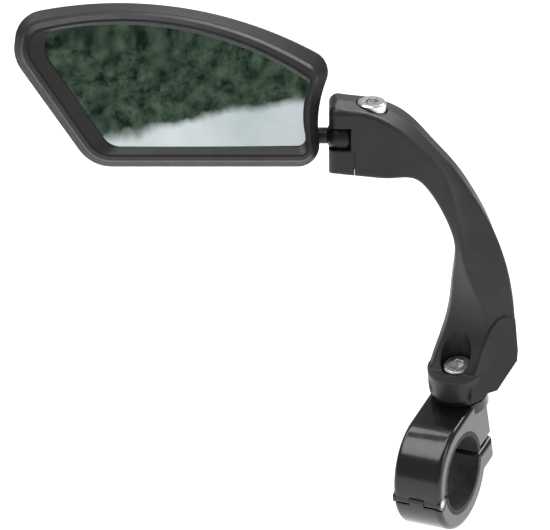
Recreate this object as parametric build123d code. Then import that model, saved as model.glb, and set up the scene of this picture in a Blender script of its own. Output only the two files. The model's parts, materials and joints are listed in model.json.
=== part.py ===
from build123d import *
import math
import os

# Bicycle handlebar mirror.  Millimetres, +Z up, X along the handlebar, +Y away from the rider.
# The origin is on the handlebar's axis, at the middle of the clamp's width.

# ---- handlebar clamp: sizes in its own frame, which leans about the bar ----
CLAMP_LEAN = 15.0            # degrees the clamp leans towards the rider
BAR_R = 11.1                 # half of a 22.2 mm handlebar
LINER_WALL = 1.5
RING_WALL = 3.9
CLAMP_WIDTH = 15.4
RING_GAP = 0.2               # from the split plane to each ring half
LINER_GAP = 0.6
LUG_WALL = 0.85              # metal behind the closing screw's head
LUG_LOW = -0.8               # lower face of the upper lug
LUG_GAP = 1.6                # between the two lugs
BAND_LUG_H = 7.4
BAND_BULGE = 0.9             # the band is this much thicker underneath
LUG_CORNER_R = 3.0
LUG_FOOT_R = 2.0             # lower rear corner of the band's lug
RIM_EDGE_R = 1.6
BOSS_EDGE_R = 0.5

PIN_R = 1.25
PIN_SKIN = 0.85              # metal between the pin and the liner seat
PIN_DROP = 0.5               # pin centre below the split plane
KNUCKLE_R = 2.05
KNUCKLE_CLEAR = 0.35
TONGUE_WIDTH = 4.6
TONGUE_CLEAR = 0.15
RUN_FIT = 0.05               # radial clearance of a turning fit

# ---- M5 socket head screws ----
SCREW_R = 2.5
HEAD_R = 4.25
HEAD_H = 5.0
HEX_AF = 4.0
HEX_DEPTH = 0.56             # part of the head's height
HEAD_EDGE = 0.4
WASHER_H = 0.8
WASHER_R = 4.4

# ---- M4 screw that closes the clamp ----
CLOSE_R = 2.0
CLOSE_HEAD_R = 3.5
CLOSE_HEAD_H = 4.0
CLOSE_HEX_AF = 3.0
CLOSE_BEHIND = 4.0           # from the liner seat to the screw's axis
CLAMP_SCREW_REACH = 6.0      # length inside the upper lug
SCREW_SWING = 1.1            # slot that lets the screw swing out with the band
SCREW_TIP_ROOM = 0.5
BAND_FLOOR = 3.2             # metal above the closing screw's washer
BORE_ROOM = 0.25             # counterbore around a screw head

# ---- arm pivot on top of the clamp ----
PIVOT_X = 1.2
PIVOT_BEHIND = 4.3           # from the liner seat to the pivot's axis
BOSS_OVER = 0.4              # the boss is this much wider than the clamp, each side
BOSS_H = 4.0
DISC_R = 7.6
DISC_H = 2.5
BUSH_WALL = 1.0
PIVOT_SCREW_REACH = 7.2
FLOOR_H = 1.9                # arm floor under the pivot screw
FACE_GAP = 0.05              # running gap between flat faces
POCKET_R = 4.8
BASE_R = 8.9
BASE_H = 7.2

# ---- arm: outline in its own frame, origin at the pivot screw's top ----
ARM_TURN = 25.5              # degrees from the bar's axis, seen from above
ARM_REACH = 38.0             # from the pivot to the ball end
ARM_RISE = 85.0              # from the pivot screw to the arm's top
ARM_DEPTH = 14.0             # of the ball end
RIDGE_R = 1.3
END_R = 3.0
END_TOP_R = 2.6
END_LENGTH = 9.0

# ---- ball joint ----
BALL_R = 5.0
BALL_X = -34.0
BALL_OUT = 1.5               # nearer to the rider than the pivot
BALL_Z = 74.2
SOCKET_CLEAR = 0.08
STEM_R = 2.4
STEM_CLEAR_SIDE = 1.6
STEM_CLEAR_UP = 0.9
WINDOW_IN = 2.5              # opening beside the ball, towards the rider
WINDOW_UP = 4.4
THREAD_R = 2.0
STEM_REACH = 22.0            # ball centre to the stem's threaded end
STEM_COLLAR = 15.5           # ball centre to the shoulder
NUT_AF = 6.5
NUT_H = 3.2

# ---- jaw under the ball ----
JAW_LENGTH = 7.6
JAW_TOP = 71.4
JAW_BOTTOM = 64.2
TONGUE_REACH = 18.0
JAW_TONGUE_DEPTH = 10.0
JAW_ROOM = 0.1
JAW_SCREW_X = -25.4
JAW_SCREW_RAISE = 1.3        # head above the arm's top face
JAW_NUT_AF = 8.0
JAW_NUT_H = 3.0

# ---- mirror head ----
HEAD_TILT = 15.0             # degrees the glass looks upwards
BALL_BESIDE = 5.2            # from the head's right end to the ball's centre
HEAD_V = -15.5               # ball centre in the head's own frame
HEAD_W = -7.5
HEAD_LENGTH = 88.2
HEAD_HEIGHT = 44.4
RIM_OUT = 1.9                # shell rim outside the seam
RIM_BACK = 3.0
SHELL_DEPTH = 15.0
SHELL_WALL = 1.8
BEZEL_H = 2.8
BEZEL_BEND = 1.7             # where the bezel's side starts to lean in
BEZEL_EDGE = 1.9
LIP_FLAT = 0.6
GLASS_H = 2.0
GLASS_HELD = 1.0             # glass behind the bezel all round
GLASS_ROOM = 0.15
GLASS_CURVE_R = 900.0
GLASS_FRONT = 0.9            # middle of the glass in front of the seam
GLASS_BACK = GLASS_FRONT - GLASS_H
PAD_H = 1.0
BEZEL_FOOT = 0.1
SIDE_SHIFT = 1.1             # the outline's middle is left of the origin
SEAM_CORNERS = (4.5, 4.5, 10.0, 9.0, 7.0)     # shoulder, chin, toe, cheek, brow
GLASS_CORNERS = (2.6, 2.4, 6.0, 5.5, 3.5)
RIM_FLARE = 2.1
SHOULDER = 4.6               # height of the right-hand shoulder
BROW = 18.6
CHEEK = 9.0
TOE_IN = 21.9                # from the left end to the toe
BROW_SET = 1.4
CHIN_SET = 0.6
CROWN_AT = 0.30
WAIST_IN = 2.6
MARGIN_LEFT = 7.0
MARGIN_RIGHT = 3.0
MARGIN_TOP = 3.7
MARGIN_BOTTOM = 4.6
MARGIN_SHOULDER = 3.4
MARGIN_BROW = 2.2
MARGIN_TOE = 4.6
MARGIN_CHEEK = 1.5
MARGIN_WAIST = 0.6
SHELL_DOME = ((0.45, 0.96), (0.8, 0.82), (1.0, 0.62))
STEM_BOSS_R = 4.4
BOSS_START = 5.0
RIB_H = 1.5
RIB_AT = (-24.0, -4.0, 14.0)


def save(part, node):
    """Writes one piece under its own name."""
    part.label = node
    export_step(part, f"parts/{node}.step")


# ---------------------------------------------------------------- frames

RING_IN = BAR_R + LINER_WALL
RING_OUT = RING_IN + RING_WALL
BOSS_R = CLAMP_WIDTH / 2 + BOSS_OVER
CLAMP_SCREW_Y = RING_IN + CLOSE_BEHIND
LUG_REAR = CLAMP_SCREW_Y + CLOSE_HEAD_R + BORE_ROOM + LUG_WALL
CLAMP_TOP = RING_OUT
PIVOT_Y = RING_IN + PIVOT_BEHIND

LEAN = Rot(CLAMP_LEAN, 0, 0)
SCREW_SEAT_Z = CLAMP_TOP + DISC_H + FACE_GAP + FLOOR_H + FACE_GAP
ARM_BOTTOM_Z = CLAMP_TOP + DISC_H + FACE_GAP
PIVOT_TOP_Z = SCREW_SEAT_Z + WASHER_H + HEAD_H
PIVOT_TOP = LEAN * Pos(PIVOT_X, PIVOT_Y, PIVOT_TOP_Z)
ARM = Pos(*PIVOT_TOP.position) * Rot(0, 0, ARM_TURN)
BALL = ARM * Pos(BALL_X, -BALL_OUT, BALL_Z)
HEAD_U = HEAD_LENGTH / 2 + BALL_BESIDE
HEAD = BALL * Rot(90 - HEAD_TILT, 0, 0) * Pos(-HEAD_U, -HEAD_V, -HEAD_W)

PIN_Y = -(RING_IN + PIN_SKIN + PIN_R)
PIN_Z = -PIN_DROP
BAND_TOP = LUG_LOW - LUG_GAP
BAND_SEAT = BAND_TOP - BAND_FLOOR
BIG = 400.0


def rod(radius, low, high):
    """A round bar standing on Z from low to high."""
    return Pos(0, 0, low) * Cylinder(radius, high - low, align=(Align.CENTER, Align.CENTER, Align.MIN))


def crosswise(radius, length, y, z):
    """A round bar along X."""
    return Pos(0, y, z) * Rot(0, 90, 0) * Cylinder(radius, length)


def block(x0, x1, y0, y1, z0, z1):
    """A box between two corners."""
    size = (x1 - x0, y1 - y0, z1 - z0)
    return Pos(x0, y0, z0) * Box(*size, align=(Align.MIN, Align.MIN, Align.MIN))


def hexagon(across, low, high):
    """A six-sided bar standing on Z."""
    flat = RegularPolygon(across / 2, 6, major_radius=False)
    return Pos(0, 0, low) * extrude(flat, high - low)


def socket_screw(length, shank_r=SCREW_R, head_r=HEAD_R, head_h=HEAD_H, across=HEX_AF):
    """Socket head screw: its seat is at Z 0 and its head is above."""
    head = rod(head_r, 0, head_h)
    head = chamfer(head.edges().group_by(Axis.Z)[-1], HEAD_EDGE)
    shank = rod(shank_r, -length, 0)
    shank = chamfer(shank.edges().group_by(Axis.Z)[0], HEAD_EDGE)
    return head + shank - hexagon(across, head_h * (1 - HEX_DEPTH), head_h + 1)


def washer(outer, inner, height):
    """A plain washer on Z 0."""
    return rod(outer, 0, height) - rod(inner, -1, height + 1)


# ---------------------------------------------------------------- clamp

def half_ring(ring, front, rear):
    """The part of a ring above front and rear levels, or below them when front is negative."""
    low, high = (0, BIG) if front > 0 else (-BIG, 0)
    keep = block(-BIG, BIG, -BIG, 0, low + front, high + front)
    keep += block(-BIG, BIG, 0, BIG, low + rear, high + rear)
    return ring & keep


def tube(inner, outer):
    """A ring about the bar, as wide as the clamp."""
    return crosswise(outer, CLAMP_WIDTH, 0, 0) - crosswise(inner, CLAMP_WIDTH + 2, 0, 0)


def soften_sides(part):
    """Rounds the outer corners of the two side faces."""
    sides = part.faces().filter_by(Axis.X).sort_by(Axis.X)
    rim = [e for f in (sides[0], sides[-1]) for e in f.outer_wire().edges()]
    keep = [e for e in rim if math.hypot(e.center().Y, e.center().Z) > RING_IN + 1]
    return fillet(keep, RIM_EDGE_R)


def upper_side():
    """Upper half of the clamp before its holes, in the leaning frame."""
    half = CLAMP_WIDTH / 2
    ring = half_ring(tube(RING_IN - 1, RING_OUT), RING_GAP, RING_GAP)
    lug = block(-half, half, 0, LUG_REAR, LUG_LOW, CLAMP_TOP)
    rear = lug.edges().filter_by(Axis.X).group_by(Axis.Y)[-1]
    lug = fillet(rear.sort_by(Axis.Z)[-1], LUG_CORNER_R)
    return soften_sides(ring + lug - crosswise(RING_IN, CLAMP_WIDTH + 2, 0, 0))


def lower_side():
    """Lower half of the clamp before its holes: thicker underneath, with its lug at the rear."""
    half = CLAMP_WIDTH / 2
    outer = crosswise(RING_OUT + BAND_BULGE / 2, CLAMP_WIDTH, 0, -BAND_BULGE / 2)
    ring = half_ring(outer, -RING_GAP, BAND_TOP)
    lug = block(-half, half, PIVOT_Y / 2, LUG_REAR, BAND_TOP - BAND_LUG_H, BAND_TOP)
    rear = lug.edges().filter_by(Axis.X).group_by(Axis.Y)[-1]
    lug = fillet(rear.sort_by(Axis.Z)[0], LUG_FOOT_R)
    return soften_sides(ring + lug - crosswise(RING_IN, CLAMP_WIDTH + 2, 0, 0))


def clamp_body():
    """Upper half: ring, lug, pivot boss and the two hinge prongs."""
    zone_r = KNUCKLE_R + KNUCKLE_CLEAR
    boss = Pos(PIVOT_X, PIVOT_Y, 0) * rod(BOSS_R, CLAMP_TOP - BOSS_H, CLAMP_TOP)
    boss = fillet(boss.edges().group_by(Axis.Z)[-1], BOSS_EDGE_R)
    boss = chamfer(boss.edges().group_by(Axis.Z)[0], BOSS_OVER)
    body = upper_side() + boss
    body += crosswise(KNUCKLE_R, CLAMP_WIDTH, PIN_Y, PIN_Z)
    body -= crosswise(RING_IN, CLAMP_WIDTH + 2, 0, 0)
    body -= crosswise(zone_r, TONGUE_WIDTH + 2 * TONGUE_CLEAR, PIN_Y, PIN_Z)
    body -= crosswise(PIN_R, CLAMP_WIDTH + 2, PIN_Y, PIN_Z)
    tip = LUG_LOW + CLAMP_SCREW_REACH + SCREW_TIP_ROOM
    for shift in (0, SCREW_SWING):
        body -= Pos(0, CLAMP_SCREW_Y + shift, 0) * rod(CLOSE_R + BORE_ROOM, LUG_LOW - 1, tip)
    hole = rod(SCREW_R, CLAMP_TOP - PIVOT_SCREW_REACH, CLAMP_TOP + 1)
    return body - Pos(PIVOT_X, PIVOT_Y, 0) * hole


def clamp_band():
    """Lower half: ring, lug with the screw seat and the hinge tongue."""
    zone_r = KNUCKLE_R + KNUCKLE_CLEAR
    side = (CLAMP_WIDTH - TONGUE_WIDTH) / 2
    band = lower_side()
    for sign in (-1, 1):
        middle = sign * (TONGUE_WIDTH + side) / 2
        band -= Pos(middle, 0, 0) * crosswise(zone_r, side + RUN_FIT, PIN_Y, PIN_Z)
    band += crosswise(KNUCKLE_R, TONGUE_WIDTH, PIN_Y, PIN_Z)
    band -= crosswise(RING_IN, CLAMP_WIDTH + 2, 0, 0)
    band -= crosswise(PIN_R + RUN_FIT, CLAMP_WIDTH + 2, PIN_Y, PIN_Z)
    hole = Pos(0, CLAMP_SCREW_Y, 0)
    band -= hole * rod(CLOSE_R + RUN_FIT, -BIG, 1)
    return band - hole * rod(CLOSE_HEAD_R + BORE_ROOM, -BIG, BAND_SEAT)


def liner(front, rear):
    """Rubber liner of one half."""
    return half_ring(tube(BAR_R, RING_IN), front, rear)


def clamp_screw():
    """Closing screw, its head under the band's lug."""
    seat = BAND_SEAT - WASHER_H
    length = LUG_LOW + CLAMP_SCREW_REACH - seat
    screw = socket_screw(length, CLOSE_R, CLOSE_HEAD_R, CLOSE_HEAD_H, CLOSE_HEX_AF)
    return Pos(0, CLAMP_SCREW_Y, seat) * Rot(180, 0, 0) * screw


def clamp_parts():
    """Everything that belongs to the clamp, by name, in the leaning frame."""
    pivot = Pos(PIVOT_X, PIVOT_Y, 0)
    bush_r = SCREW_R + RUN_FIT + BUSH_WALL
    bush_top = SCREW_SEAT_Z
    screw_length = bush_top + WASHER_H - CLAMP_TOP + PIVOT_SCREW_REACH - SCREW_TIP_ROOM
    disc = washer(DISC_R, bush_r + RUN_FIT, DISC_H)
    bush = washer(bush_r, SCREW_R + RUN_FIT, bush_top - CLAMP_TOP)
    head_washer = washer(WASHER_R, SCREW_R + RUN_FIT, WASHER_H)
    band_washer = washer(CLOSE_HEAD_R, CLOSE_R + RUN_FIT, WASHER_H)
    return {
        "clamp_body": clamp_body(),
        "clamp_band": clamp_band(),
        "upper_liner": liner(LINER_GAP, LUG_LOW),
        "lower_liner": liner(-LINER_GAP, BAND_TOP),
        "hinge_pin": crosswise(PIN_R, CLAMP_WIDTH - 2 * RUN_FIT, PIN_Y, PIN_Z),
        "clamp_screw": clamp_screw(),
        "clamp_washer": Pos(0, CLAMP_SCREW_Y, BAND_SEAT - WASHER_H) * band_washer,
        "friction_disc": pivot * Pos(0, 0, CLAMP_TOP) * disc,
        "pivot_bush": pivot * Pos(0, 0, CLAMP_TOP) * bush,
        "pivot_washer": pivot * Pos(0, 0, bush_top) * head_washer,
        "pivot_screw": pivot * Pos(0, 0, bush_top + WASHER_H) * socket_screw(screw_length),
    }


# ---------------------------------------------------------------- arm

# Stations from the ball end down to the clamp.  Each is a flat section: where its inner edge is
# (X, Z), which way it faces (degrees), then its six ridges as (outwards, towards the rider):
# front, outer, back outer, back inner, inner, front inner.
HALF = ARM_DEPTH / 2
STATIONS = [
    (-38.0, 64.2, 90, ((20.6, 7.0), (21.2, 0.0), (20.6, -7.0), (0.0, -7.0), (-0.6, 0.0), (0.0, 7.0))),
    (-34.5, 63.8, 90, ((20.5, 7.0), (21.1, 0.0), (20.5, -7.0), (0.0, -7.0), (-0.6, 0.0), (0.0, 7.0))),
    (-30.8, 63.4, 90, ((20.4, 7.0), (21.0, 0.0), (20.4, -7.0), (0.0, -7.0), (-0.6, 0.0), (0.0, 7.0))),
    (-27.0, 63.0, 90, ((20.2, 7.0), (20.8, 0.0), (20.4, -7.0), (0.0, -7.0), (-0.6, 0.0), (0.0, 7.0))),
    (-19.5, 62.5, 78, ((15.3, 7.0), (16.8, 0.0), (17.0, -7.0), (0.0, -7.0), (-0.6, 0.0), (0.0, 7.0))),
    (-12.7, 62.0, 60, ((8.2, 6.4), (9.9, 0.0), (10.0, -6.6), (0.3, -6.6), (-0.6, 0.0), (0.0, 6.4))),
    (-8.3, 57.3, 42, ((6.4, 5.8), (9.0, -0.5), (9.2, -6.6), (1.0, -7.0), (-0.4, -1.0), (0.0, 5.4))),
    (-4.0, 49.4, 28, ((3.6, 5.2), (9.6, -1.0), (9.8, -6.8), (2.0, -7.8), (0.2, -2.5), (-0.2, 4.2))),
    (-0.9, 40.0, 20, ((2.0, 4.4), (11.5, -1.5), (11.0, -7.2), (3.0, -8.8), (0.0, -4.0), (-0.2, 2.6))),
    (-1.6, 27.5, 8, ((5.5, 3.4), (16.8, -2.0), (14.5, -8.8), (4.0, -10.8), (0.0, -6.0), (0.2, -1.5))),
    (-3.2, 14.0, 0, ((12.0, 2.2), (20.6, -2.4), (17.0, -10.8), (4.0, -12.0), (0.0, -7.5), (0.7, -4.2))),
    (-6.0, 5.0, 0, ((13.2, 4.0), (24.0, -1.6), (19.5, -10.5), (6.0, -11.5), (0.0, -6.5), (0.8, -3.0))),
    (-7.8, 0.0, 0, ((13.0, 5.8), (25.6, -1.2), (20.0, -9.8), (6.5, -10.5), (0.0, -4.5), (0.6, -0.8))),
    (-8.6, -4.0, 0, ((13.0, 6.6), (23.6, -0.2), (18.0, -9.0), (6.0, -9.5), (0.0, -3.0), (0.4, 1.5))),
    (-8.3, -8.5, 0, ((12.6, 6.4), (20.2, 2.0), (16.0, -7.5), (5.0, -8.5), (0.0, -2.5), (0.4, 1.5))),
    (-8.0, -15.0, 0, ((12.4, 6.4), (17.2, 2.3), (14.0, -7.5), (4.5, -8.0), (0.0, -2.5), (0.4, 1.5))),
]


# The flank's outline, as (X, Z).
FLANK_SIDE = [(3.6, -15.0), (4.2, -3.0), (7.1, 6.0), (9.6, 11.7), (12.0, 14.6), (14.6, 15.2), (17.2, 13.6),
              (18.0, 4.0), (17.8, 1.0), (11.9, -6.9), (8.4, -7.3), (7.6, -15.0)]
FLANK_TURN = 26.5            # degrees the flank's face is turned from the arm's own plane
FLANK_OUT = 7.85             # from the pivot's top to the flank's face
FLANK_LEAN = 6.3             # degrees the face leans back towards its top
FLANK_BACK = 2.4


def station(x, z, face, ridges):
    """One rounded section of the arm; the table's last pair counts towards the rider."""
    plane = Plane(origin=(x, 0, z), x_dir=Vector(1, 0, 0).rotate(Axis.Y, -face),
                  z_dir=Vector(0, 0, 1).rotate(Axis.Y, -face))
    corners = [(out, -near) for out, near in ridges]
    outline = Polygon(*corners, align=None)
    outline = fillet(outline.vertices(), RIDGE_R)
    return plane * outline


def end_rounding():
    """What is left when the ball end's upright corners and top edge are rounded."""
    end = block(-ARM_REACH, END_LENGTH - ARM_REACH, -HALF, HALF, 0, ARM_RISE)
    end = fillet(end.edges().filter_by(Axis.Z).group_by(Axis.X)[0], END_R)
    top = end.faces().sort_by(Axis.Z)[-1].edges().filter_by(Axis.X, reverse=True).sort_by(Axis.X)
    end = fillet(top[:3], END_TOP_R)
    return end + block(END_LENGTH - ARM_REACH, BIG, -BIG, BIG, -BIG, BIG)


def flank():
    """The flat-faced flank at the arm's foot, on the side towards the bar's middle."""
    outline = Polyline(*FLANK_SIDE, close=True)
    face = make_face(Plane.XZ * outline)
    slab = Pos(0, FLANK_BACK, 0) * extrude(face, FLANK_BACK + 2 * HALF, dir=(0, -1, 0))
    flat = Rot(0, 0, FLANK_TURN) * Rot(-FLANK_LEAN, 0, 0) * block(-BIG, BIG, -FLANK_OUT, BIG, -BIG, BIG)
    return slab & flat


def arm_blank():
    """The arm's outside: the lofted beam and the round base."""
    beam = loft([station(*row) for row in STATIONS]) & end_rounding()
    base = leaning_pivot(rod(BASE_R, ARM_BOTTOM_Z, ARM_BOTTOM_Z + BASE_H))
    under = leaning_pivot(block(-BIG, BIG, -BIG, BIG, -BIG, ARM_BOTTOM_Z))
    return beam + flank() + base - under


def leaning_pivot(part):
    """Places a piece given on the pivot axis, at clamp heights, in the arm's frame."""
    return ARM.inverse() * LEAN * Pos(PIVOT_X, PIVOT_Y, 0) * part


SCREW_STATION = 3            # the section nearest the jaw screw
JAW_END = -ARM_REACH + JAW_LENGTH
NUT_FLOOR = JAW_BOTTOM + JAW_NUT_H
ARM_TOP_AT_SCREW = STATIONS[SCREW_STATION][1] + STATIONS[SCREW_STATION][3][0][0]
JAW_SEAT_Z = ARM_TOP_AT_SCREW + JAW_SCREW_RAISE - HEAD_H - WASHER_H


def socket():
    """The ball's seat and the stem's room to swing, shared by the arm and its jaw."""
    side = STEM_R + STEM_CLEAR_SIDE
    up = STEM_R + STEM_CLEAR_UP
    seat = Pos(BALL_X, -BALL_OUT, BALL_Z) * Sphere(BALL_R + SOCKET_CLEAR)
    slot = block(-ARM_REACH - 1, BALL_X, -BALL_OUT - side, -BALL_OUT + side, BALL_Z - up, BALL_Z + up)
    window = block(-ARM_REACH - 1, BALL_X + WINDOW_IN, -HALF - 1, -BALL_OUT, JAW_TOP, BALL_Z + WINDOW_UP)
    return seat + slot + window


def arm(blank):
    """The arm with its ball seat, jaw recess, screw holes and pivot pocket."""
    body = blank
    half_tongue = JAW_TONGUE_DEPTH / 2
    body -= block(-ARM_REACH - 1, JAW_END, -HALF - 1, HALF + 1, 0, JAW_TOP)
    body -= block(JAW_END - 1, JAW_END + TONGUE_REACH - JAW_LENGTH + JAW_ROOM,
                  -half_tongue - JAW_ROOM, half_tongue + JAW_ROOM, 0, JAW_TOP)
    body -= socket()
    hole = Pos(JAW_SCREW_X, 0, 0)
    body -= hole * rod(SCREW_R + BORE_ROOM, 0, BIG)
    body -= hole * rod(WASHER_R + BORE_ROOM, JAW_SEAT_Z, BIG)
    floor = SCREW_SEAT_Z - FACE_GAP
    bush_r = SCREW_R + RUN_FIT + BUSH_WALL
    body -= leaning_pivot(rod(POCKET_R, floor, BIG))
    body -= leaning_pivot(rod(bush_r + RUN_FIT, 0, floor + 1))
    return body


def jaw(blank):
    """Lower jaw: the arm's own end under the ball, and its tongue inside the arm."""
    half_tongue = JAW_TONGUE_DEPTH / 2
    front = blank & block(-ARM_REACH, JAW_END - JAW_ROOM, -HALF, HALF, 0, JAW_TOP - JAW_ROOM)
    tongue = block(JAW_END - 1, JAW_END + TONGUE_REACH - JAW_LENGTH, -half_tongue, half_tongue,
                   JAW_BOTTOM + RIDGE_R / 2, JAW_TOP - JAW_ROOM)
    hole = Pos(JAW_SCREW_X, 0, 0)
    body = front + tongue - socket()
    body -= hole * rod(SCREW_R + RUN_FIT, 0, BIG)
    return body - hole * hexagon(JAW_NUT_AF + 2 * RUN_FIT, 0, NUT_FLOOR)


def arm_parts():
    """Everything that rides on the arm, in the arm's frame."""
    screw = Pos(JAW_SCREW_X, 0, 0)
    seat = JAW_SEAT_Z + WASHER_H
    nut = hexagon(JAW_NUT_AF, NUT_FLOOR - JAW_NUT_H, NUT_FLOOR) - rod(SCREW_R, 0, BIG)
    blank = arm_blank()
    return {
        "arm": arm(blank),
        "jaw": jaw(blank),
        "jaw_screw": screw * Pos(0, 0, seat) * socket_screw(seat - JAW_BOTTOM - RIDGE_R / 2),
        "jaw_washer": screw * Pos(0, 0, JAW_SEAT_Z) * washer(WASHER_R, SCREW_R + RUN_FIT, WASHER_H),
        "jaw_nut": screw * nut,
    }


# ---------------------------------------------------------------- ball and stem

def stem():
    """The stem beside the ball: a cupped end, a shoulder and a threaded tip, along -X."""
    cup = BALL_R + FACE_GAP
    body = rod(STEM_R, 0, STEM_COLLAR) + rod(THREAD_R, STEM_COLLAR - 1, STEM_REACH)
    body = chamfer(body.edges().group_by(Axis.Z)[-1], HEAD_EDGE)
    return Rot(0, -90, 0) * (body - Sphere(cup))


def ball_parts():
    """Ball, stem and what holds the stem in the shell, in the ball's frame."""
    nut = hexagon(NUT_AF, 0, NUT_H) - rod(THREAD_R, -1, NUT_H + 1)
    plate = washer(NUT_AF / 2, THREAD_R + RUN_FIT, WASHER_H)
    inward = Rot(0, -90, 0)
    return {
        "pivot_ball": Sphere(BALL_R),
        "ball_stem": stem(),
        "stem_washer": inward * Pos(0, 0, STEM_COLLAR) * plate,
        "stem_nut": inward * Pos(0, 0, STEM_COLLAR + WASHER_H) * nut,
    }


# ---------------------------------------------------------------- mirror head

def head_outline(grow, flare=0.0):
    """The head's outline about its middle: crowned top, hollow right side, raked left side.

    flare carries the right-hand shoulder further out, as on the shell's rim.
    """
    left, right = -HEAD_LENGTH / 2 - SIDE_SHIFT, HEAD_LENGTH / 2 - SIDE_SHIFT
    top, bottom = HEAD_HEIGHT / 2, -HEAD_HEIGHT / 2
    return framed((left - grow, right + grow, bottom - grow, top + grow), SHOULDER + grow, BROW + grow,
                  CHEEK - grow / 2, left + TOE_IN - grow / 2, WAIST_IN, flare, [r + grow for r in SEAM_CORNERS])


def glass_outline(grow):
    """The visible glass: the same five sides, further in on the left and at the bottom."""
    left, right = -HEAD_LENGTH / 2 - SIDE_SHIFT + MARGIN_LEFT, HEAD_LENGTH / 2 - SIDE_SHIFT - MARGIN_RIGHT
    top, bottom = HEAD_HEIGHT / 2 - MARGIN_TOP, -HEAD_HEIGHT / 2 + MARGIN_BOTTOM
    return framed((left - grow, right + grow, bottom - grow, top + grow), SHOULDER - MARGIN_SHOULDER + grow,
                  BROW - MARGIN_BROW + grow, CHEEK + MARGIN_CHEEK - grow / 2,
                  left - MARGIN_LEFT + TOE_IN + MARGIN_TOE - grow / 2,
                  WAIST_IN - MARGIN_WAIST, 0.0, [r + grow for r in GLASS_CORNERS])


def framed(sides, shoulder, brow, cheek, toe, waist_in, flare, corners):
    """Five-sided face: brow and cheek end the short left side, shoulder the right side."""
    left, right, bottom, top = sides
    brow_point = Vector(left + BROW_SET, brow)
    shoulder_point = Vector(right + flare, shoulder)
    chin = Vector(right - CHIN_SET, bottom)
    toe_point = Vector(toe, bottom)
    cheek_point = Vector(left, cheek)
    crown = Vector(left + CROWN_AT * (right - left), top)
    waist = Vector(right - waist_in, (shoulder + bottom) / 2)
    face = Face(Wire([
        ThreePointArc(brow_point, crown, shoulder_point),
        ThreePointArc(shoulder_point, waist, chin),
        Line(chin, toe_point),
        Line(toe_point, cheek_point),
        Line(cheek_point, brow_point),
    ]))
    for point, radius in zip((shoulder_point, chin, toe_point, cheek_point, brow_point), corners):
        face = fillet(face.vertices().sort_by_distance(point)[0], radius)
    return face


def at_depth(face, depth, size=1.0):
    """A face moved to a depth in front of the seam and drawn in towards the head's middle."""
    return Pos(0, 0, depth) * scale(face, by=(size, size, 1))


def plate(face, low, high):
    """A flat plate between two depths."""
    return Pos(0, 0, low) * extrude(face, high - low, dir=(0, 0, 1))


def shell_form(grow, front, back):
    """Domed solid behind the seam; grow moves its wall and back its deepest point."""
    rim = head_outline(RIM_OUT + grow, RIM_FLARE)
    body = loft([at_depth(head_outline(grow), front), at_depth(rim, -RIM_BACK)], ruled=True)
    dome = [at_depth(rim, -RIM_BACK)]
    for part_depth, size in SHELL_DOME:
        dome.append(at_depth(rim, -RIM_BACK + part_depth * (back + RIM_BACK), size))
    return body + loft(dome)


def stem_line(part):
    """Places a piece given along the stem, from the ball outwards, in the head's frame."""
    return Pos(HEAD_U, HEAD_V, HEAD_W) * Rot(0, -90, 0) * part


def back_shell():
    """Hollow back shell with the stem's boss and the ribs that carry the glass."""
    outside = shell_form(0, 0, -SHELL_DEPTH)
    inside = shell_form(-SHELL_WALL, 1, -SHELL_DEPTH + SHELL_WALL)
    inner = outside - (outside - inside)
    pad_back = GLASS_BACK - PAD_H
    boss = stem_line(rod(STEM_BOSS_R, BOSS_START, STEM_COLLAR)) & outside
    ribs = Pos(RIB_AT[0], 0, 0) * rib(pad_back)
    for place in RIB_AT[1:]:
        ribs += Pos(place, 0, 0) * rib(pad_back)
    body = outside - inner + boss + (ribs & inner)
    body -= glass_pocket(pad_back)
    return body - stem_line(rod(STEM_R + RUN_FIT, 0, STEM_REACH))


def rib(top):
    """One upright rib across the shell."""
    half = HEAD_HEIGHT / 2
    return block(-RIB_H / 2, RIB_H / 2, -half, half, -SHELL_DEPTH, top)


def glass_pocket(low):
    """The space of the glass and its pad, with a little room all round."""
    return plate(glass_outline(GLASS_HELD + GLASS_ROOM), low, GLASS_FRONT)


def glass_dome():
    """A large ball whose nearest point is the middle of the glass front."""
    return Pos(0, 0, GLASS_FRONT - GLASS_CURVE_R) * Rot(90, 0, 0) * Sphere(GLASS_CURVE_R)


def mirror_glass():
    """Slightly domed mirror plate."""
    flat = plate(glass_outline(GLASS_HELD), GLASS_BACK, GLASS_FRONT + 1)
    return flat & glass_dome()


def glass_pad():
    """Foam sheet between the glass and the shell's ribs."""
    return plate(glass_outline(0), GLASS_BACK - PAD_H, GLASS_BACK)


def bezel():
    """Front frame: crowned lip that slopes in to the glass and a skirt down to the seam."""
    crest = head_outline(-BEZEL_EDGE)
    brink = head_outline(-BEZEL_EDGE - LIP_FLAT)
    outside = loft([at_depth(head_outline(0), BEZEL_FOOT), at_depth(head_outline(-BEZEL_EDGE / 3), BEZEL_BEND),
                    at_depth(crest, BEZEL_H)], ruled=True)
    slope = loft([at_depth(glass_outline(0), GLASS_FRONT), at_depth(brink, BEZEL_H)], ruled=True)
    opening = plate(glass_outline(0), -1, BEZEL_H + 1)
    return outside - slope - opening - glass_pocket(0)


def head_parts():
    """Everything in the mirror head, in its own frame."""
    return {
        "back_shell": back_shell(),
        "bezel": bezel(),
        "mirror_glass": mirror_glass(),
        "glass_pad": glass_pad(),
    }


os.makedirs("parts", exist_ok=True)
for name, piece in clamp_parts().items():
    save(LEAN * piece, name)
for name, piece in arm_parts().items():
    save(ARM * piece, name)
for name, piece in ball_parts().items():
    save(BALL * piece, name)
for name, piece in head_parts().items():
    save(HEAD * piece, name)
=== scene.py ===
import json
import math

import bpy
from mathutils import Matrix, Vector

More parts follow.
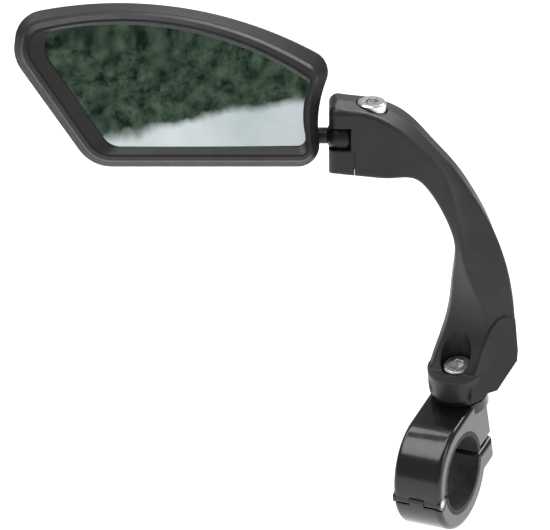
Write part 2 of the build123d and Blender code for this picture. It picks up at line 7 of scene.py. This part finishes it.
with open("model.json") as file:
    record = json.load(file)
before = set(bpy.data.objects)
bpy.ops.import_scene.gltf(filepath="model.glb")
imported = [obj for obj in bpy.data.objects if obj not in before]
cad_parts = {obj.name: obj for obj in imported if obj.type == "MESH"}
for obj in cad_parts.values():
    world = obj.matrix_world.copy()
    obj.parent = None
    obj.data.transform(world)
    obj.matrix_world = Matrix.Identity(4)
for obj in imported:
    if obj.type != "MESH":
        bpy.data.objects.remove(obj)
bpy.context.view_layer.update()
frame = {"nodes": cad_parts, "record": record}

# ---------------------------------------------------------------- view and stage sizes, metres
VIEW_TURN = math.radians(25.5)
VIEW_RISE = math.radians(24.0)
VIEW_DISTANCE = 4.0
SENSOR = 36.0
FRAME_WIDTH = 550
PIXELS_PER_METRE = 3400.0
VIEW_CENTRE = (-0.0486, 0.0601, 0.020)      # right, up and near, seen by the camera
CLIP_END = 20
FLOOR_Z = -0.10
FLOOR_SIZE = 8
HEAD_CENTRE = Vector((-0.072, -0.031, 0.122))
# The card that the mirror shows. Its tones and kerb line are set near those of the photo's reflection.
SEEN_IN_MIRROR = Vector((0.428, -0.898, 0.105))     # direction from the mirror to the card
SCENERY_DISTANCE = 2.7
SCENERY_SIZE = (1.1, 0.7)
HEDGE_DARK = (0.008, 0.014, 0.010)
HEDGE_LIGHT = (0.10, 0.155, 0.11)
ROAD_DARK = (0.52, 0.57, 0.60)
ROAD_LIGHT = (0.78, 0.82, 0.84)
KERB_SLOPE = 0.175
KERB_WANDER = 0.06
KERB_HEIGHT = (-0.023, -0.003)              # where the hedge gives way to the road
SKY_STRENGTH = 0.34
# Each lamp: name, place, the point it faces, its two sides and its power in watts.
LAMPS = (
    ("key", (-0.5, -0.3, 1.3), (0, 0, 0.05), (1.3, 1.3), 24),
    ("side", (1.2, -0.1, 0.5), (0, 0, 0.05), (0.5, 0.9), 4),
    ("back", (0.2, 1.1, 1.2), (0, 0.3, -0.1), (1.2, 0.6), 22),
)

# ---------------------------------------------------------------- shading detail
BEVEL_SAMPLES = 6
STEEL_SHADE = 0.82                          # steel's darker tone as a share of its lighter one


# ---------------------------------------------------------------- small helpers

def view_axes():
    """Right, up and back directions of the camera."""
    right = Vector((math.cos(VIEW_TURN), math.sin(VIEW_TURN), 0))
    level = Vector((math.sin(VIEW_TURN), -math.cos(VIEW_TURN), 0))
    back = level * math.cos(VIEW_RISE) + Vector((0, 0, math.sin(VIEW_RISE)))
    return right, back.cross(right), back


def link(obj):
    """Puts an object in the scene and returns it."""
    bpy.context.scene.collection.objects.link(obj)
    return obj


class Nodes:
    """A material's node tree, with short calls for what every material here uses."""

    def __init__(self, name):
        self.material = bpy.data.materials.new(name)
        self.material.use_nodes = True
        self.tree = self.material.node_tree
        self.shader = self.tree.nodes["Principled BSDF"]
        coords = self.tree.nodes.new("ShaderNodeTexCoord")
        self.place = coords.outputs["Object"]

    def set(self, **values):
        """Puts plain values on the shader's own sockets."""
        for name, value in values.items():
            self.shader.inputs[name.replace("_", " ")].default_value = value

    def join(self, out, into):
        """Links one node's output to another's input."""
        self.tree.links.new(out, into)

    def noise(self, scale, detail=3.0, rough=0.55, stretch=None):
        """Noise over the object; scale is in cells per metre, stretch multiplies it along x, y and z."""
        node = self.tree.nodes.new("ShaderNodeTexNoise")
        node.inputs["Scale"].default_value = scale
        node.inputs["Detail"].default_value = detail
        node.inputs["Roughness"].default_value = rough
        if stretch:
            mapping = self.tree.nodes.new("ShaderNodeMapping")
            mapping.inputs["Scale"].default_value = stretch
            self.join(self.place, mapping.inputs["Vector"])
            self.join(mapping.outputs["Vector"], node.inputs["Vector"])
        else:
            self.join(self.place, node.inputs["Vector"])
        return node.outputs["Fac"]

    def cells(self, scale):
        """Small cells, as in a spark-eroded mould grain."""
        node = self.tree.nodes.new("ShaderNodeTexVoronoi")
        node.inputs["Scale"].default_value = scale
        self.join(self.place, node.inputs["Vector"])
        return node.outputs["Distance"]

    def spread(self, value, low=0, high=1, start=0.3, end=0.7):
        """Maps a texture's middle range to the values between low and high."""
        node = self.tree.nodes.new("ShaderNodeMapRange")
        for name, number in (("From Min", start), ("From Max", end), ("To Min", low), ("To Max", high)):
            node.inputs[name].default_value = number
        self.join(value, node.inputs["Value"])
        return node.outputs["Result"]

    def blend(self, value, first, second):
        """Colour between two, each a tone or another node's output, by a texture."""
        node = self.tree.nodes.new("ShaderNodeMix")
        node.data_type = "RGBA"
        ends = [socket for socket in node.inputs if socket.type == "RGBA"]
        for socket, colour in zip(ends, (first, second)):
            if isinstance(colour, tuple):
                socket.default_value = (*colour, 1)
            else:
                self.join(colour, socket)
        self.join(value, node.inputs["Factor"])
        return [socket for socket in node.outputs if socket.type == "RGBA"][0]

    def tint(self, value, dark, light):
        """Base colour between two tones, by a texture."""
        self.join(self.blend(value, dark, light), self.shader.inputs["Base Color"])

    def rough(self, value):
        """Roughness from a texture."""
        self.join(value, self.shader.inputs["Roughness"])

    def relief(self, layers, round_edges=0.0):
        """Bumps, each (height, distance in metres, strength), over edges rounded in shading."""
        normal = None
        if round_edges:
            bevel = self.tree.nodes.new("ShaderNodeBevel")
            bevel.inputs["Radius"].default_value = round_edges
            bevel.samples = BEVEL_SAMPLES
            normal = bevel.outputs["Normal"]
        for height, distance, strength in layers:
            bump = self.tree.nodes.new("ShaderNodeBump")
            bump.inputs["Distance"].default_value = distance
            bump.inputs["Strength"].default_value = strength
            self.join(height, bump.inputs["Height"])
            if normal:
                self.join(normal, bump.inputs["Normal"])
            normal = bump.outputs["Normal"]
        self.join(normal, self.shader.inputs["Normal"])


# ---------------------------------------------------------------- materials

def moulded_plastic(name, dark, light, low, high, grain, edge):
    """Black plastic with the fine grain of its mould; edge is how far its edges look rounded."""
    n = Nodes(name)
    n.set(Specular_IOR_Level=0.36)
    n.tint(n.spread(n.noise(90, 4)), dark, light)
    n.rough(n.spread(n.noise(700, 4), low, high))
    n.relief([(n.cells(5200), 0.00004, grain), (n.noise(2600, 5), 0.00005, grain)], edge)
    return n.material


def gloss_paint():
    """Black gloss paint over cast metal, with a little orange peel."""
    n = Nodes("gloss_black_paint")
    n.set(Specular_IOR_Level=0.35, Coat_Weight=0.4, Coat_Roughness=0.08)
    n.tint(n.spread(n.noise(160)), dark=(0.003, 0.003, 0.0035), light=(0.006, 0.006, 0.0065))
    n.rough(n.spread(n.noise(900, 4), 0.17, 0.27))
    n.relief([(n.noise(420, 2), 0.00012, 0.20)], 0.0004)
    return n.material


def steel(name, light, low, high):
    """Turned and plated steel, with fine marks."""
    n = Nodes(name)
    n.set(Metallic=1.0)
    n.tint(n.spread(n.noise(1500, 5)), tuple(tone * STEEL_SHADE for tone in light), light)
    n.rough(n.spread(n.noise(2400, 4, stretch=(1, 1, 5)), low, high))
    n.relief([(n.noise(6000, 3, stretch=(1, 1, 6)), 0.00001, 0.25)], 0.00015)
    return n.material


def rubber():
    """Dull, nearly black rubber."""
    n = Nodes("liner_rubber")
    n.tint(n.spread(n.noise(300)), dark=(0.012, 0.012, 0.012), light=(0.03, 0.03, 0.029))
    n.rough(n.spread(n.noise(1200), 0.6, 0.82))
    n.relief([(n.noise(3000, 4), 0.00008, 0.4)], 0.0002)
    return n.material


def foam():
    """Dark open-celled foam, with painted shade in the pits of its cells."""
    n = Nodes("black_foam")
    # painted shade: the tint is darkest in the cell pits that the bump below sinks
    n.tint(n.spread(n.cells(1800)), dark=(0.02, 0.02, 0.02), light=(0.07, 0.07, 0.07))
    n.rough(n.spread(n.noise(900), 0.8, 0.95))
    n.relief([(n.cells(1800), 0.0003, 0.8)])
    return n.material


def mirror():
    """Silvered glass with the faintest haze."""
    n = Nodes("mirror_silver")
    n.set(Metallic=1.0)
    n.tint(n.spread(n.noise(40, 3)), dark=(0.86, 0.90, 0.88), light=(0.90, 0.93, 0.915))
    n.rough(n.spread(n.noise(120, 5), 0.004, 0.03))
    n.relief([(n.noise(25, 1), 0.0002, 0.02)])
    return n.material


MATERIALS = {
    "clamp_paint": gloss_paint(),
    "liner_rubber": rubber(),
    "steel": steel("plated_steel", (0.62, 0.62, 0.63), 0.22, 0.40),
    "screw_steel": steel("screw_steel", (0.82, 0.82, 0.82), 0.18, 0.34),
    "nylon": moulded_plastic("black_nylon", dark=(0.005, 0.005, 0.006), light=(0.010, 0.010, 0.011),
                             low=0.32, high=0.44, grain=0.10, edge=0.0002),
    "arm_plastic": moulded_plastic("arm_plastic", dark=(0.010, 0.010, 0.011), light=(0.020, 0.020, 0.022),
                                   low=0.36, high=0.48, grain=0.22, edge=0.0006),
    "shell_plastic": moulded_plastic("shell_plastic", dark=(0.006, 0.006, 0.0068),
                                     light=(0.012, 0.012, 0.0132), low=0.40, high=0.52,
                                     grain=0.26, edge=0.0004),
    "mirror": mirror(),
    "foam": foam(),
}


def dress_frame():
    """Gives every CAD node the material of its slot."""
    slots = {s["node"]: s["material_slot"] for s in frame["record"]["subparts"]}
    for name, obj in frame["nodes"].items():
        obj.data.materials.clear()
        obj.data.materials.append(MATERIALS[slots[name]])


# ---------------------------------------------------------------- stage

def sheet(name, width, height, place, towards, material, camera=True):
    """A flat stage card facing a point."""
    mesh = bpy.data.meshes.new(name)
    w, h = width / 2, height / 2
    mesh.from_pydata([(-w, -h, 0), (w, -h, 0), (w, h, 0), (-w, h, 0)], [], [(0, 1, 2, 3)])
    mesh.materials.append(material)
    card = link(bpy.data.objects.new(name, mesh))
    card.location = place
    card.rotation_euler = (Vector(towards) - Vector(place)).to_track_quat("Z", "Y").to_euler()
    card.visible_camera = camera


def scenery():
    """A card with a hedge over a pale road: the camera doesn't see it, but the mirror does."""
    n = Nodes("scenery")
    n.set(Base_Color=(0, 0, 0, 1), Specular_IOR_Level=0, Roughness=1, Emission_Strength=1)
    height = n.tree.nodes.new("ShaderNodeVectorMath")
    height.operation = "DOT_PRODUCT"
    n.join(n.place, height.inputs[0])
    height.inputs[1].default_value = (KERB_SLOPE, 1, 0)
    wander = n.tree.nodes.new("ShaderNodeMath")
    wander.operation = "MULTIPLY_ADD"
    n.join(n.noise(14, 5), wander.inputs[0])
    wander.inputs[1].default_value = KERB_WANDER
    n.join(height.outputs["Value"], wander.inputs[2])
    leaves = n.spread(n.noise(26, 8, rough=0.75), start=0.40, end=0.68)
    hedge = n.blend(leaves, HEDGE_DARK, HEDGE_LIGHT)
    road = n.blend(n.spread(n.noise(5, 3)), ROAD_DARK, ROAD_LIGHT)
    kerb_start, kerb_end = KERB_HEIGHT
    above_kerb = n.spread(wander.outputs[0], start=kerb_start, end=kerb_end)
    view = n.blend(above_kerb, road, hedge)
    n.join(view, n.shader.inputs["Emission Color"])
    place = HEAD_CENTRE + SEEN_IN_MIRROR * SCENERY_DISTANCE
    sheet("scenery", *SCENERY_SIZE, place, HEAD_CENTRE, n.material, camera=False)


def floor():
    """A plain pale floor."""
    n = Nodes("pale_floor")
    n.set(Roughness=0.7, Specular_IOR_Level=0.2)
    n.tint(n.spread(n.noise(6)), dark=(0.90, 0.90, 0.90), light=(0.93, 0.93, 0.93))
    sheet("floor", FLOOR_SIZE, FLOOR_SIZE, (0, 0, FLOOR_Z), (0, 0, 1), n.material)


def area(name, place, towards, size, power):
    """A soft rectangular lamp facing a point."""
    data = bpy.data.lights.new(name, "AREA")
    data.shape = "RECTANGLE"
    data.size, data.size_y = size
    data.energy = power
    lamp = link(bpy.data.objects.new(name, data))
    lamp.location = place
    lamp.rotation_euler = (Vector(towards) - Vector(place)).to_track_quat("-Z", "Y").to_euler()


def light_stage():
    """An even white sky and three soft lamps."""
    world = bpy.data.worlds.new("studio")
    bpy.context.scene.world = world
    world.use_nodes = True
    sky = world.node_tree.nodes["Background"]
    sky.inputs["Color"].default_value = (1, 1, 1, 1)
    sky.inputs["Strength"].default_value = SKY_STRENGTH
    for lamp in LAMPS:
        area(*lamp)


def camera():
    """A long lens at the viewing angle, so that the view is nearly parallel."""
    right, up, back = view_axes()
    across, rise, near = VIEW_CENTRE
    centre = right * across + up * rise + back * near
    data = bpy.data.cameras.new("camera")
    data.sensor_width = SENSOR
    data.lens = SENSOR * VIEW_DISTANCE * PIXELS_PER_METRE / FRAME_WIDTH
    data.clip_end = CLIP_END
    cam = link(bpy.data.objects.new("camera", data))
    turn = Matrix((right, up, back)).transposed().to_4x4()
    cam.matrix_world = Matrix.Translation(centre + back * VIEW_DISTANCE) @ turn
    bpy.context.scene.camera = cam


dress_frame()
floor()
scenery()
light_stage()
camera()
bpy.context.scene.view_settings.view_transform = "Standard"
